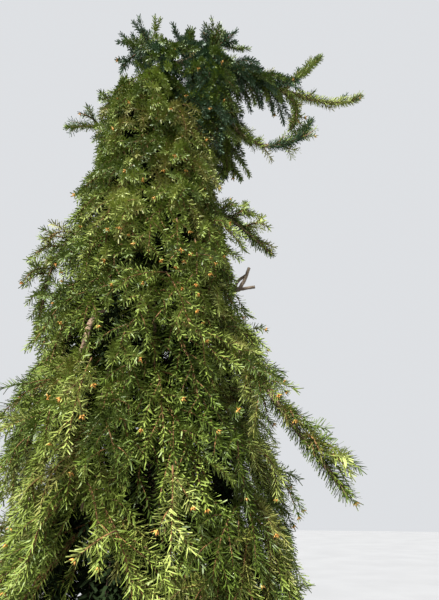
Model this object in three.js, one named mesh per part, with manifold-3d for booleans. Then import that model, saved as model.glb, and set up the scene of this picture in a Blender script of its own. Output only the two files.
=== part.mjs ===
// A weeping Norway spruce: a slim, slightly leaning trunk wrapped in a column of hanging foliage,
// with a leader that nods over to the right at the top and a few shoots that stand up from it.
// Millimetres, +Z up, +X to the right of the front view, which looks along +Y.
// The origin is the middle of the flat cut under the trunk, at ground level.
import * as THREE from "three";
import { mergeVertices } from "three/addons/utils/BufferGeometryUtils.js";
import Module from "manifold-3d";

const wasm = await Module();
wasm.setup();
const { Manifold } = wasm;

// Trunk and leader
const TRUNK_TOP = 3090;
const LEAN = 0.0505;
const SWAY = 7;
const SWAY_LENGTH = 2100;
const TRUNK_FOOT_RADIUS = 44;
const TRUNK_TOP_RADIUS = 15;
const FLARE = 0.45;
const FLARE_HEIGHT = 110;
const ROOT_LOBES = 5;
const LOBE_DEPTH = 0.16;
const TRUNK_SIDES = 15;
const TRUNK_RINGS = [0, 25, 60, 110, 190, 330, 620, 1000, 1400, 1800, 2200, 2600, 2880, TRUNK_TOP];

// Column of foliage: half width at some heights, from the skirt to the shoulder under the nod.
// A stem runs at a share of the half width that the column has a little below its root.
const COLUMN_PROFILE = [
  [100, 455],
  [700, 450],
  [1400, 405],
  [1800, 365],
  [2200, 300],
  [2600, 228],
  [2850, 212],
  [3060, 150],
];
const STEM_SHARE = 0.74;
const TIER_DROP = [660, 420];
const TIER_REACH = [310, 210];
const TIER_SPRAYS = 5;
const TURN_SPREAD = 0.28;
const HEIGHT_SPREAD = 90;
const GROUND_CLEARANCE = 60;
const SKIRT_CLEARANCE = 180;
const WIDTH_DROP = 150;

// Tiers of the column: height where the stems leave the trunk, their number, and the turn of the first in
// degrees. The turns leave room for the boughs that stand out between them.
const TIERS = [
  { height: 640, count: 5, turn: 36 },
  { height: 1070, count: 5, turn: 0 },
  { height: 1480, count: 5, turn: 36 },
  { height: 1860, count: 4, turn: 70 },
  { height: 2210, count: 4, turn: 22 },
  { height: 2530, count: 4, turn: 62 },
  { height: 2820, count: 4, turn: 25 },
  { height: 3010, count: 3, turn: 70 },
];

// Stems of the masses: three-sided, in a few straight runs
const STEM_RUNS = 5;
const STEM_ROOT_RADIUS = 8;
const STEM_TIP_RADIUS = 3.5;

// Sprays: one toothed blade stands for a hanging twig with its needled shoots
const SPRAY_SLENDERNESS = 0.6;
const SPRAY_THICKNESS = 0.035;
const SPRAY_DROOP = 0.16;
const SPRAY_TEETH = 3;
const SPRAY_SEAT = 3;
const SPRAY_SHRINK = [1, 0.86, 0.72, 0.58, 0.46];
const INNER_SPRAY_SHARE = 0.6;

// Outline of a blade: where its first tooth starts, the share that its teeth take up, how far along a tooth
// its point is, the half width at a notch, and how much less the last tooth reaches
const TOOTH_START = 0.13;
const TOOTH_SHARE = 0.78;
const TOOTH_POINT = 0.73;
const NOTCH_WIDTH = 0.42;
const TOOTH_TAPER = 0.4;

// Fronds: the toothed ribbon that carries on from a hanging mass's bare stem. Its sprays stand out of it.
const FROND_TEETH = 5;
const FROND_SHARE = 1.1;
const FROND_START = 0.395;
const FROND_THICKNESS = 12;
const BARE_RUNS = 2;

// Curtains under the leader
const CURTAIN_FROND_WIDTH = 85;
const CURTAIN_SPRAYS = 4;
const CURTAIN_REACH = 180;

// Clearances
const SEAT_GAP = 0.3;
const SPACE_OVERLAP = 75;
const BLADE_MARGIN = 2;
const SLIVER = 1;
const CUT_SLIVER = 0.02;

const BARK = new THREE.MeshStandardMaterial({ color: 0x6b5a4a, roughness: 0.95 });
const DEAD_WOOD = new THREE.MeshStandardMaterial({ color: 0x7d7468, roughness: 0.95 });
const NEEDLES = new THREE.MeshStandardMaterial({ color: 0x4d6426, roughness: 0.6 });

// How sprays leave their stem: shares along it, across it, off its outer face and downwards, then the turn
// about the stem from one to the next and how far they may roll, in radians. A tuft's face along its stem.
const HANGING = { along: 0.4, across: 0.7, out: 0.5, down: 0.5, turn: Math.PI, roll: 0.4 };
const CURTAIN = { along: 0.3, across: 0.6, out: 0.45, down: 0.75, turn: Math.PI, roll: 0.5 };
const TUFTED = { along: 0.5, across: 0.9, out: 0, down: 0, turn: 2.4, roll: 0.8, facesAlong: true };
const UPTURNED = { along: 0.9, across: 0.55, out: 0.1, down: -0.2, turn: 2.4, roll: 0.6 };

const v3 = (x, y, z) => new THREE.Vector3(x, y, z);
const UP = v3(0, 0, 1);
const lerp = THREE.MathUtils.lerp;

// A small seeded generator, so that the tree is the same each time.
function randomSource(seed) {
  let state = seed >>> 0;
  return () => {
    state = (state + 0x6d2b79f5) >>> 0;
    let t = Math.imul(state ^ (state >>> 15), 1 | state);
    t = (t + Math.imul(t ^ (t >>> 7), 61 | t)) ^ t;
    return ((t ^ (t >>> 14)) >>> 0) / 4294967296;
  };
}

function curveThrough(points) {
  return new THREE.CatmullRomCurve3(points, false, "catmullrom", 0.5);
}

function routeCurve(route) {
  return curveThrough(route.map((point) => v3(...point)));
}

// Where the trunk's middle is at a height.
function trunkMiddle(height) {
  const sway = SWAY * Math.sin((2 * Math.PI * height) / SWAY_LENGTH);
  return v3(-LEAN * height + sway, -sway, height);
}

function trunkRadius(height) {
  const taper = lerp(TRUNK_FOOT_RADIUS, TRUNK_TOP_RADIUS, Math.max(0, height) / TRUNK_TOP);
  return taper * (1 + FLARE * Math.exp(-Math.max(0, height) / FLARE_HEIGHT));
}

function columnRadius(height) {
  let i = 1;
  while (i < COLUMN_PROFILE.length - 1 && height > COLUMN_PROFILE[i][0]) i += 1;
  const [lowHeight, lowRadius] = COLUMN_PROFILE[i - 1];
  const [highHeight, highRadius] = COLUMN_PROFILE[i];
  const share = THREE.MathUtils.clamp((height - lowHeight) / (highHeight - lowHeight), 0, 1);
  return lerp(lowRadius, highRadius, share);
}

// Points and the triangles between them as a solid.
function solidFrom(points, indices) {
  const geometry = new THREE.BufferGeometry().setFromPoints(points);
  geometry.setIndex(indices);
  return solidOf(geometry);
}

// A closed three.js geometry as a solid.
function solidOf(geometry) {
  const bare = geometry.clone();
  bare.deleteAttribute("normal");
  bare.deleteAttribute("uv");
  const merged = mergeVertices(bare, 1e-3);
  return new Manifold(
    new wasm.Mesh({
      numProp: 3,
      vertProperties: new Float32Array(merged.attributes.position.array),
      triVerts: new Uint32Array(merged.index.array),
    }),
  );
}

function geometryOf(solid) {
  const mesh = solid.getMesh();
  const positions = new Float32Array(mesh.numVert * 3);
  for (let i = 0; i < mesh.numVert; i += 1) {
    positions.set(mesh.vertProperties.subarray(i * mesh.numProp, i * mesh.numProp + 3), i * 3);
  }
  const geometry = new THREE.BufferGeometry();
  geometry.setAttribute("position", new THREE.BufferAttribute(positions, 3));
  geometry.setIndex(new THREE.BufferAttribute(mesh.triVerts, 1));
  geometry.computeVertexNormals();
  return geometry;
}

// Section frames that follow a curve without twisting.
function framesAlong(curve, steps) {
  const frames = [];
  let side = v3(0, 1, 0);
  for (let i = 0; i <= steps; i += 1) {
    const at = i / steps;
    const ahead = curve.getTangent(at);
    side = side.clone().addScaledVector(ahead, -side.dot(ahead));
    if (side.length() < 0.2) side.set(1, 0, 0).addScaledVector(ahead, -ahead.x);
    side.normalize();
    frames.push({ middle: curve.getPoint(at), side, up: side.clone().cross(ahead) });
  }
  return frames;
}

// A cylinder bent along a curve. radiusAt(share, angle) gives its radius there.
function limbGeometry(curve, radiusAt, sides, steps) {
  const geometry = new THREE.CylinderGeometry(1, 1, 1, sides, steps);
  const frames = framesAlong(curve, steps);
  const position = geometry.getAttribute("position");
  for (let i = 0; i < position.count; i += 1) {
    const share = position.getY(i) + 0.5;
    const frame = frames[Math.round(share * steps)];
    const angle = Math.atan2(position.getX(i), position.getZ(i));
    const isCentre = Math.hypot(position.getX(i), position.getZ(i)) < 0.5;
    const radius = isCentre ? 0 : radiusAt(share, angle);
    const place = frame.middle
      .clone()
      .addScaledVector(frame.side, radius * Math.sin(angle))
      .addScaledVector(frame.up, radius * Math.cos(angle));
    position.setXYZ(i, place.x, place.y, place.z);
  }
  return geometry;
}

function taperedLimb(curve, rootRadius, tipRadius, sides, steps, extra = 0) {
  return solidOf(limbGeometry(curve, (share) => lerp(rootRadius, tipRadius, share) + extra, sides, steps));
}

function trunkSolid(extra) {
  const runs = TRUNK_RINGS.length - 1;
  const geometry = new THREE.CylinderGeometry(1, 1, 1, TRUNK_SIDES, runs);
  const position = geometry.getAttribute("position");
  for (let i = 0; i < position.count; i += 1) {
    const height = TRUNK_RINGS[Math.round((position.getY(i) + 0.5) * runs)];
    const angle = Math.atan2(position.getZ(i), position.getX(i));
    const isCentre = Math.hypot(position.getX(i), position.getZ(i)) < 0.5;
    const lobe = 1 + LOBE_DEPTH * Math.cos(ROOT_LOBES * angle) * Math.exp(-height / FLARE_HEIGHT);
    const radius = isCentre ? 0 : trunkRadius(height) * lobe + extra;
    const middle = trunkMiddle(height);
    position.setXYZ(i, middle.x + radius * Math.cos(angle), middle.y - radius * Math.sin(angle), height);
  }
  return solidOf(geometry);
}

// Half of a blade's outline, from its first notch to the point of its last tooth.
function toothedSide(teeth) {
  const pitch = TOOTH_SHARE / teeth;
  const side = [];
  for (let i = 0; i < teeth; i += 1) {
    const start = TOOTH_START + pitch * i;
    const reach = 1 - (TOOTH_TAPER * i) / teeth;
    side.push([start, NOTCH_WIDTH * reach], [start + TOOTH_POINT * pitch, reach]);
  }
  return side;
}

// A closed toothed blade, flat behind and ridged in front. place(x, y, off) puts its points: x runs from
// 0 at the root to 1 at the tip, y from -1 to 1 across, and off is 1 on the ridge. The number of teeth a
// side is odd: the first ridge point serves one pair of teeth, and each later one serves two.
function toothedBlade(teeth, place) {
  const side = toothedSide(teeth);
  const outline = [[0, 0], ...side, [1, 0], ...side.map(([x, y]) => [x, -y]).reverse()];
  const ridge = side.filter((point, i) => i % 4 === 0).map(([x]) => x);
  const count = outline.length;
  const indices = [];
  for (let i = 0; i < count; i += 1) {
    const fromRoot = Math.min(i, count - 1 - i);
    indices.push(i, count + Math.floor((fromRoot + 1) / 4), (i + 1) % count);
  }
  for (let j = 1; j < ridge.length; j += 1) {
    const notch = 4 * j - 1;
    indices.push(notch, count + j - 1, count + j, count - notch, count + j, count + j - 1);
  }
  indices.push(0, 1, count - 1);
  for (let i = 1; i < side.length; i += 1) {
    indices.push(i, i + 1, count - i, count - i, i + 1, count - 1 - i);
  }
  indices.push(side.length, side.length + 1, count - side.length);
  const points = [...outline.map(([x, y]) => place(x, y, 0)), ...ridge.map((x) => place(x, 0, 1))];
  return solidFrom(points, indices);
}

// Limbs: each a solid and a slightly fatter copy that cuts whatever meets it
const limbs = [];
const pieces = [];

function addLimb(name, make, material) {
  let solid = make(0);
  for (const limb of limbs) solid = solid.subtract(limb.fat);
  limbs.push({ solid, fat: make(SEAT_GAP) });
  pieces.push({ name, solid, material });
}

// A bough runs from inside its parent limb, whose bark cuts it off, out to its tip.
function addBough({ name, route, radii, sides = 7, steps = 6 }) {
  const curve = routeCurve(route);
  addLimb(name, (extra) => taperedLimb(curve, radii[0], radii[1], sides, steps, extra), BARK);
  return curve;
}

const LEADER = {
  name: "leader",
  route: [
    [-160, -10, TRUNK_TOP + 2],
    [-59, -10, 3196],
    [60, -8, 3216],
    [193, -6, 3150],
    [300, 0, 3086],
    [386, 0, 3040],
  ],
  radii: [14, 6],
  sides: 8,
  steps: 12,
};

// Boughs that show, or that hold their foliage out past the column. A route ends where foliage starts.
const BOUGHS = [
  {
    name: "bough_left_crest",
    route: [[-150, 0, 3040], [-174, -10, 3104], [-186, -14, 3170]],
    radii: [9, 6],
  },
  {
    name: "bough_crest",
    route: [[20, -8, 3215], [42, -4, 3245], [62, 0, 3270]],
    radii: [8, 5.5],
  },
  {
    name: "bough_low_right",
    route: [[-140, 0, 2960], [20, -18, 2935], [134, -20, 2868], [196, -16, 2786], [272, -8, 2744]],
    radii: [10, 6.5],
  },
  {
    name: "bough_left_high",
    route: [[-118, 0, 2380], [-214, -6, 2416], [-308, -10, 2398]],
    radii: [11, 7.5],
  },
  {
    name: "bough_right_high",
    route: [[-122, 0, 2420], [-20, -6, 2466], [76, -10, 2452]],
    radii: [10, 7],
  },
  {
    name: "bough_left_front",
    route: [[-100, 0, 2020], [-190, -110, 2030], [-232, -180, 1962], [-238, -206, 1886]],
    radii: [12, 8],
  },
  {
    name: "bough_right_front",
    route: [[-98, 0, 1960], [34, -88, 1980], [150, -166, 1884], [222, -222, 1768]],
    radii: [12, 7.5],
  },
];

// Foliage outside the tiers: its stem leaves a bough's tip or the bark of a limb, and ends at its own tip
const BRANCHES = [
  {
    name: "foliage_left_crest",
    from: "bough_left_crest",
    route: [[-198, -8, 3240], [-208, 0, 3320], [-226, 8, 3410]],
    habit: TUFTED,
    sprays: 9,
    reach: 145,
  },
  {
    name: "foliage_crest",
    from: "bough_crest",
    route: [[84, 4, 3310], [110, 8, 3360], [136, 10, 3410]],
    habit: TUFTED,
    sprays: 9,
    reach: 135,
  },
  {
    name: "foliage_leader_tip",
    from: "leader",
    route: [[470, 0, 3000], [560, 0, 2978], [630, 0, 2986], [676, 0, 3008]],
    habit: UPTURNED,
    sprays: 5,
    reach: 62,
  },
  {
    name: "foliage_low_right",
    from: "bough_low_right",
    route: [[340, -4, 2752], [416, 0, 2794], [468, 0, 2884]],
    habit: UPTURNED,
    sprays: 5,
    reach: 85,
  },
  {
    name: "foliage_left_spur",
    from: "trunk",
    route: [[-140, 0, 2790], [-230, 0, 2828], [-320, 0, 2852], [-488, 0, 2848]],
    habit: HANGING,
    sprays: 5,
    reach: 90,
  },
  {
    name: "foliage_left_high",
    from: "bough_left_high",
    route: [[-372, -12, 2356], [-424, -14, 2270], [-446, -16, 2150], [-442, -20, 1990]],
    habit: HANGING,
    sprays: 8,
    reach: 150,
  },
  {
    name: "foliage_right_high",
    from: "bough_right_high",
    route: [[132, -12, 2416], [204, -12, 2352], [282, -12, 2268]],
    habit: HANGING,
    sprays: 6,
    reach: 130,
  },
  {
    name: "foliage_left_front",
    from: "bough_left_front",
    route: [[-250, -230, 1800], [-276, -252, 1660], [-300, -262, 1480]],
    habit: HANGING,
    sprays: 6,
    reach: 260,
  },
  {
    name: "foliage_right_front",
    from: "bough_right_front",
    route: [[278, -250, 1672], [330, -280, 1590], [368, -300, 1526]],
    habit: HANGING,
    sprays: 6,
    reach: 115,
  },
];

// Curtains hang from the leader: where along it they start, how deep they drop, and how far front or back
const CURTAINS = [
  { share: 0.12, drop: 330, out: -120 },
  { share: 0.27, drop: 470, out: 110 },
  { share: 0.38, drop: 540, out: -90 },
  { share: 0.5, drop: 500, out: 70 },
];

// Shoots that stand up from or fork off the leader near its end
const FORKS = [
  {
    name: "foliage_up_fork",
    share: 0.97,
    route: [[420, -6, 3104], [474, -10, 3160], [534, -12, 3230]],
    reach: 56,
  },
  {
    name: "foliage_down_fork",
    share: 0.92,
    route: [[400, -6, 2985], [410, -6, 2905], [384, -6, 2830]],
    reach: 50,
  },
  {
    name: "foliage_top_shoots",
    share: 0.3,
    route: [[-10, -8, 3280], [-18, -6, 3340], [-24, -6, 3400]],
    reach: 115,
  },
];
const FORK_SPRAYS = 4;

// A dead limb with three bare prongs
const DEAD_LIMB = {
  route: [[-108, 0, 2130], [20, 4, 2150], [150, 6, 2142], [184, 6, 2170], [206, 6, 2226]],
  prongs: [
    [[150, 6, 2142], [190, -2, 2146], [222, -6, 2150]],
    [[158, 6, 2148], [168, 14, 2180], [196, 20, 2206]],
  ],
  radii: [9, 5],
  prongRadii: [5.4, 5],
};

// A stem of the column: from the bark outwards, over, and down along the inside of the column's outline
function tierStem(tier, row, i) {
  const draw = randomSource(101 + 17 * row + i);
  const turn = tier.turn + ((i + TURN_SPREAD * (draw() - 0.5)) * 360) / tier.count;
  const heading = THREE.MathUtils.degToRad(turn);
  const away = v3(Math.cos(heading), Math.sin(heading), 0);
  const height = tier.height + HEIGHT_SPREAD * (draw() - 0.5);
  const rise = row / (TIERS.length - 1);
  const drop = Math.min(lerp(...TIER_DROP, rise), height - SKIRT_CLEARANCE) * (0.92 + 0.16 * draw());
  const radius = columnRadius(height - WIDTH_DROP) * STEM_SHARE;
  const at = (share, fall) => trunkMiddle(height - fall).addScaledVector(away, radius * share);
  const points = [at(0, -10), at(0.4, -30), at(0.75, 0.1 * drop), at(0.98, 0.5 * drop), at(1.12, drop)];
  return {
    name: `foliage_tier${row + 1}_${i + 1}`,
    away,
    curve: curveThrough(points),
    habit: HANGING,
    sprays: TIER_SPRAYS,
    reach: lerp(...TIER_REACH, rise),
    start: 0.3,
    frondWidth: (FROND_SHARE * Math.PI * radius) / tier.count,
    seed: 1000 + 50 * row + i,
  };
}

function tierStems() {
  return TIERS.flatMap((tier, row) => Array.from({ length: tier.count }, (_, i) => tierStem(tier, row, i)));
}

const boughCurves = new Map();

// The curve of a stem that starts just clear of its bough's tip, or inside the trunk's bark.
function stemFrom(limbName, route) {
  if (limbName === "trunk") return routeCurve(route);
  const parent = boughCurves.get(limbName);
  const tip = parent.getPoint(1);
  const start = tip.clone().addScaledVector(parent.getTangent(1), SEAT_GAP);
  return curveThrough([start, ...route.map((point) => v3(...point))]);
}

// The level direction from the trunk to the end of a branch.
function headingOf(route) {
  const end = v3(...route[route.length - 1]);
  return end.sub(trunkMiddle(end.z)).setZ(0).normalize();
}

function branchStems() {
  return BRANCHES.map((branch, i) => ({
    name: branch.name,
    away: headingOf(branch.route),
    curve: stemFrom(branch.from, branch.route),
    habit: branch.habit,
    sprays: branch.sprays,
    reach: branch.reach,
    start: branch.from === "trunk" ? 0.4 : 0.16,
    seed: 3000 + i,
  }));
}

function curtainStems() {
  const leader = boughCurves.get("leader");
  return CURTAINS.map((curtain, i) => {
    const root = leader.getPoint(curtain.share);
    const aside = (share, fall) => root.clone().add(v3(8 * share, curtain.out * share, -fall));
    const points = [root, aside(0.6, 10), aside(1, 0.3 * curtain.drop), aside(1.1, curtain.drop)];
    return {
      name: `foliage_curtain_${i + 1}`,
      away: v3(0, Math.sign(curtain.out), 0),
      curve: curveThrough(points),
      habit: CURTAIN,
      sprays: CURTAIN_SPRAYS,
      reach: CURTAIN_REACH,
      start: 0.25,
      frondWidth: CURTAIN_FROND_WIDTH,
      seed: 4000 + i,
    };
  });
}

function forkStems() {
  const leader = boughCurves.get("leader");
  return FORKS.map((fork, i) => ({
    name: fork.name,
    away: headingOf(fork.route),
    curve: curveThrough([leader.getPoint(fork.share), ...fork.route.map((point) => v3(...point))]),
    habit: UPTURNED,
    sprays: FORK_SPRAYS,
    reach: fork.reach,
    start: 0.35,
    seed: 5000 + i,
  }));
}

// A point at a share of a stem's length, on the straight runs that its solid is made of.
function pointOn(stem, share) {
  const run = Math.min(Math.floor(share * STEM_RUNS), STEM_RUNS - 1);
  return stem.points[run].clone().lerp(stem.points[run + 1], share * STEM_RUNS - run);
}

function distanceToStem(point, stem) {
  let nearest = Infinity;
  const onLine = new THREE.Vector3();
  for (const line of stem.lines) {
    line.closestPointToPoint(point, true, onLine);
    nearest = Math.min(nearest, point.distanceToSquared(onLine));
  }
  return Math.sqrt(nearest);
}

// A mass keeps to the space round its own stem, and its teeth reach a little way in among its neighbours'.
function isInSpace(point, stem, neighbours) {
  if (point.z < GROUND_CLEARANCE) return false;
  const own = distanceToStem(point, stem) - SPACE_OVERLAP;
  return neighbours.every((other) => distanceToStem(point, other) > own);
}

// The outer face of a stem: away from what it hangs round where it hangs, and up where it runs level.
function outwardAt(stem, tangent) {
  return stem.away.clone().cross(UP).cross(tangent).normalize();
}

// A stem's own solid, three-sided, over its first few straight runs.
function stemSolid(stem, runs) {
  const points = [];
  const indices = [];
  for (let i = 0; i <= runs; i += 1) {
    const share = i / STEM_RUNS;
    const ahead = stem.curve.getTangent(share);
    const out = outwardAt(stem, ahead);
    const radius = lerp(STEM_ROOT_RADIUS, STEM_TIP_RADIUS, share);
    for (let k = 0; k < 3; k += 1) {
      const arm = out.clone().applyAxisAngle(ahead, (2 * Math.PI * k) / 3).multiplyScalar(radius);
      points.push(stem.points[i].clone().add(arm));
      if (i === runs) continue;
      const corner = 3 * i + k;
      const next = 3 * i + ((k + 1) % 3);
      indices.push(corner, next, corner + 3, next, next + 3, corner + 3);
    }
  }
  indices.push(0, 2, 1, 3 * runs, 3 * runs + 1, 3 * runs + 2);
  return solidFrom(points, indices);
}

// The ribbon that carries on from a bare stem to its tip, as wide as its share of the column's girth.
function frondSolid(stem, scale) {
  return toothedBlade(FROND_TEETH, (x, y, off) => {
    const along = lerp(FROND_START, 1, x);
    const middle = pointOn(stem, along);
    const tangent = stem.curve.getTangent(along);
    const outward = outwardAt(stem, tangent);
    const across = tangent.clone().cross(outward);
    return middle
      .addScaledVector(across, -y * stem.frondWidth * scale)
      .addScaledVector(outward, off * FROND_THICKNESS);
  });
}

// The last spray runs out along the stem to its end.
function lastSpray(stem) {
  const tip = stem.curve.getPoint(1);
  const root = pointOn(stem, stem.lastShare);
  const line = tip.clone().sub(root);
  const heading = line.clone().normalize();
  return { root, heading, face: outwardAt(stem, heading), length: line.length() };
}

// Where each spray of a mass starts and how it lies, in the order of the random draws.
function sprayPlan(stem) {
  const draw = randomSource(stem.seed);
  const { habit } = stem;
  const plan = [];
  for (let k = 0; k < stem.sprays - 1; k += 1) {
    const along = lerp(stem.start, stem.lastShare + 0.08, (k + 0.4 * draw()) / (stem.sprays - 1));
    const spread = 0.75 + 0.5 * draw();
    const lift = draw() - 0.5;
    const length = stem.reach * lerp(INNER_SPRAY_SHARE, 1, along) * (0.9 + 0.3 * draw());
    const roll = habit.roll * (2 * draw() - 1);
    const root = pointOn(stem, along);
    const tangent = stem.curve.getTangent(along);
    const outward = outwardAt(stem, tangent);
    const across = tangent.clone().cross(outward).applyAxisAngle(tangent, k * habit.turn);
    const heading = v3(0, 0, -habit.down)
      .addScaledVector(tangent, habit.along)
      .addScaledVector(across, habit.across * spread)
      .addScaledVector(outward, habit.out + 0.5 * lift)
      .normalize();
    const facing = habit.facesAlong ? tangent : outward;
    const face = facing.clone().addScaledVector(heading, -facing.dot(heading)).normalize();
    face.applyAxisAngle(heading, roll);
    plan.push({ root: root.addScaledVector(outward, SPRAY_SEAT), heading, face, length });
  }
  if (!stem.frond.length) plan.push(lastSpray(stem));
  return plan;
}

const sprayPoint = (x, y, off) => v3(x, y, off * SPRAY_THICKNESS - SPRAY_DROOP * x * x);
const sprayShape = toothedBlade(SPRAY_TEETH, sprayPoint);

function spraySolid(spray, scale) {
  const length = spray.length * scale;
  const halfWidth = (spray.length * SPRAY_SLENDERNESS * Math.sqrt(scale)) / 2;
  const matrix = new THREE.Matrix4().makeBasis(
    spray.heading.clone().multiplyScalar(length),
    spray.face.clone().cross(spray.heading).multiplyScalar(halfWidth),
    spray.face.clone().multiplyScalar(length),
  );
  return sprayShape.transform(matrix.setPosition(spray.root).elements);
}

function cornersOf(solid) {
  const mesh = solid.getMesh();
  const corners = [];
  for (let i = 0; i < mesh.numVert; i += 1) {
    corners.push(v3(...mesh.vertProperties.subarray(i * mesh.numProp, i * mesh.numProp + 3)));
  }
  return corners;
}

function boxesMeet(a, b, margin) {
  const boxA = a.boundingBox();
  const boxB = b.boundingBox();
  return [0, 1, 2].every((k) => boxA.min[k] - margin < boxB.max[k] && boxB.min[k] - margin < boxA.max[k]);
}

function isClearOf(solid, others, margin) {
  return others.every((other) => !boxesMeet(solid, other, margin) || solid.minGap(other, margin) >= margin);
}

// The largest of a few sizes of a blade that keeps to its mass's space and clear of everything else.
function fitBlade(shape, stem, neighbours, obstacles) {
  for (const scale of SPRAY_SHRINK) {
    const blade = shape(scale);
    const isInside = cornersOf(blade).every((corner) => isInSpace(corner, stem, neighbours));
    if (isInside && isClearOf(blade, obstacles, BLADE_MARGIN)) return [blade];
  }
  return [];
}

// One mass: its bare stem, its frond and its sprays joined, and cut clear of the limbs.
function growMass(stem, neighbours, obstacles) {
  const sprays = sprayPlan(stem).flatMap((spray) =>
    fitBlade((scale) => spraySolid(spray, scale), stem, neighbours, obstacles),
  );
  const bareStem = stemSolid(stem, stem.frond.length ? BARE_RUNS : STEM_RUNS);
  let solid = Manifold.union([bareStem, ...stem.frond, ...sprays]).simplify(SLIVER);
  for (const limb of limbs) {
    if (boxesMeet(solid, limb.fat, 0)) solid = solid.subtract(limb.fat);
  }
  const bodies = solid.decompose().sort((a, b) => b.volume() - a.volume());
  return bodies[0].simplify(CUT_SLIVER);
}

function deadLimbSolid(extra) {
  const { route, prongs, radii, prongRadii } = DEAD_LIMB;
  return Manifold.union([
    taperedLimb(routeCurve(route), ...radii, 7, 8, extra),
    ...prongs.map((prong) => taperedLimb(routeCurve(prong), ...prongRadii, 6, 3, extra)),
  ]);
}

addLimb("trunk", trunkSolid, BARK);
for (const bough of [LEADER, ...BOUGHS]) boughCurves.set(bough.name, addBough(bough));
addLimb("dead_limb", deadLimbSolid, DEAD_WOOD);

const stems = [...branchStems(), ...curtainStems(), ...forkStems(), ...tierStems()];
for (const stem of stems) {
  stem.points = stem.curve.getPoints(STEM_RUNS);
  stem.lines = stem.points.slice(1).map((point, i) => new THREE.Line3(stem.points[i], point));
  stem.lastShare = 1 - Math.min(0.4, (0.9 * stem.reach) / stem.curve.getLength());
  stem.solid = stemSolid(stem, STEM_RUNS);
  stem.frond = [];
}

// Every frond is fitted before the first spray, so that no mass grows over its neighbour's place.
const masses = [];
const neighboursOf = (stem) => stems.filter((other) => other !== stem);
const obstaclesOf = (stem) => [
  ...limbs.map((limb) => limb.solid),
  ...neighboursOf(stem).flatMap((other) => [other.solid, ...other.frond]),
  ...masses,
];
for (const stem of stems) {
  if (!stem.frondWidth) continue;
  stem.frond = fitBlade((scale) => frondSolid(stem, scale), stem, neighboursOf(stem), obstaclesOf(stem));
}
for (const stem of stems) {
  const mass = growMass(stem, neighboursOf(stem), obstaclesOf(stem));
  masses.push(mass);
  pieces.push({ name: stem.name, solid: mass, material: NEEDLES });
}

const tree = new THREE.Group();
for (const piece of pieces) {
  const mesh = new THREE.Mesh(geometryOf(piece.solid), piece.material);
  mesh.name = piece.name;
  tree.add(mesh);
}

export default tree;
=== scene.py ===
# Looks of a weeping Norway spruce: bark on the limbs, and twigs, needles and buds in place of the masses.
# Lengths are millimetres in the frame of the solids, until a mesh is made. A share runs from 0 at the root
# of a limb, stem, twig or shoot to 1 at its tip.
import math
from dataclasses import dataclass

import bpy
import numpy as np
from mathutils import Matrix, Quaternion, Vector, noise


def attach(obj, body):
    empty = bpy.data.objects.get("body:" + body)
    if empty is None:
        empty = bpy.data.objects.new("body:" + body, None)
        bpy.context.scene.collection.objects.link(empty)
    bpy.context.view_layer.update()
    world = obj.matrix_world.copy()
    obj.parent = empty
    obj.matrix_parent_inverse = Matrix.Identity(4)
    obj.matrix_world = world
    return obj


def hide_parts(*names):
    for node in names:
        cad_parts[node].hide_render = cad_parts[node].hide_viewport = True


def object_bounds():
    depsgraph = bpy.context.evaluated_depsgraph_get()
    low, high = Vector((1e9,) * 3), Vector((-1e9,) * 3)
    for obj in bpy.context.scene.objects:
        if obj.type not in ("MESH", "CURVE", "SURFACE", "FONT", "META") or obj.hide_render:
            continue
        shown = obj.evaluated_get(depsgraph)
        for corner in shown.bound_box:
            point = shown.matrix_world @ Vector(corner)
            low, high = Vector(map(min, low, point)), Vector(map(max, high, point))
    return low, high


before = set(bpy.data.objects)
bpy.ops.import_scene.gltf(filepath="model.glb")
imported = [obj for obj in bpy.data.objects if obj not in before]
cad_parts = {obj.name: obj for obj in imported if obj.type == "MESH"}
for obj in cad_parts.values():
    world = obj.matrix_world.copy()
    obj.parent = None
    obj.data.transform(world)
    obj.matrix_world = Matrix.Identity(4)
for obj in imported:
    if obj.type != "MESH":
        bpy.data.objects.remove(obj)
cad_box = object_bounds()

MM = 0.001
UP = Vector((0, 0, 1))

# Camera: a phone held at chest height, tilted up
CAMERA_PLACE = (0.108, -1.3, 1.5)
CAMERA_PITCH = 25
CAMERA_LENS = 27

# Light: a soft sky and a key light
SKY_TONE = (0.87, 0.89, 0.92, 1)
SKY_STRENGTH = 0.84
KEY_ENERGY = 11
KEY_SOFTNESS = 5
KEY_TURN = (49, -6, -26)

# Trunk and leader, as the solids have them
TRUNK_TOP = 3090
LEAN = 0.0505
SWAY = 7
SWAY_LENGTH = 2100
TRUNK_FOOT_RADIUS = 44
TRUNK_TOP_RADIUS = 15
FLARE = 0.45
FLARE_HEIGHT = 110
ROOT_LOBES = 5
LOBE_DEPTH = 0.16

# Column of foliage, as heights and radii, and its tiers: height, number of stems and first turn of each
COLUMN_PROFILE = [
    (100, 455), (700, 450), (1400, 405), (1800, 365),
    (2200, 300), (2600, 228), (2850, 212), (3060, 150),
]
STEM_SHARE = 0.74
TIER_DROP = (660, 420)
TIER_REACH = (310, 210)
TIER_SPRAYS = 5
TURN_SPREAD = 0.28
HEIGHT_SPREAD = 90
GROUND_CLEARANCE = 60
SKIRT_CLEARANCE = 180
WIDTH_DROP = 150
TIERS = [
    (640, 5, 36), (1070, 5, 0), (1480, 5, 36), (1860, 4, 70),
    (2210, 4, 22), (2530, 4, 62), (2820, 4, 25), (3010, 3, 70),
]
STEM_RUNS = 5
STEM_ROOT_RADIUS = 8
STEM_TIP_RADIUS = 3.5
SPRAY_SLENDERNESS = 0.6
SPRAY_SEAT = 3
INNER_SPRAY_SHARE = 0.6
TOOTH_TAPER = 0.4
FROND_SHARE = 1.1
FROND_START = 0.395
CURTAIN_FROND_WIDTH = 85
CURTAIN_SPRAYS = 4
CURTAIN_REACH = 180
FORK_SPRAYS = 4
SEAT_GAP = 0.3
SPACE_OVERLAP = 75

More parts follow.
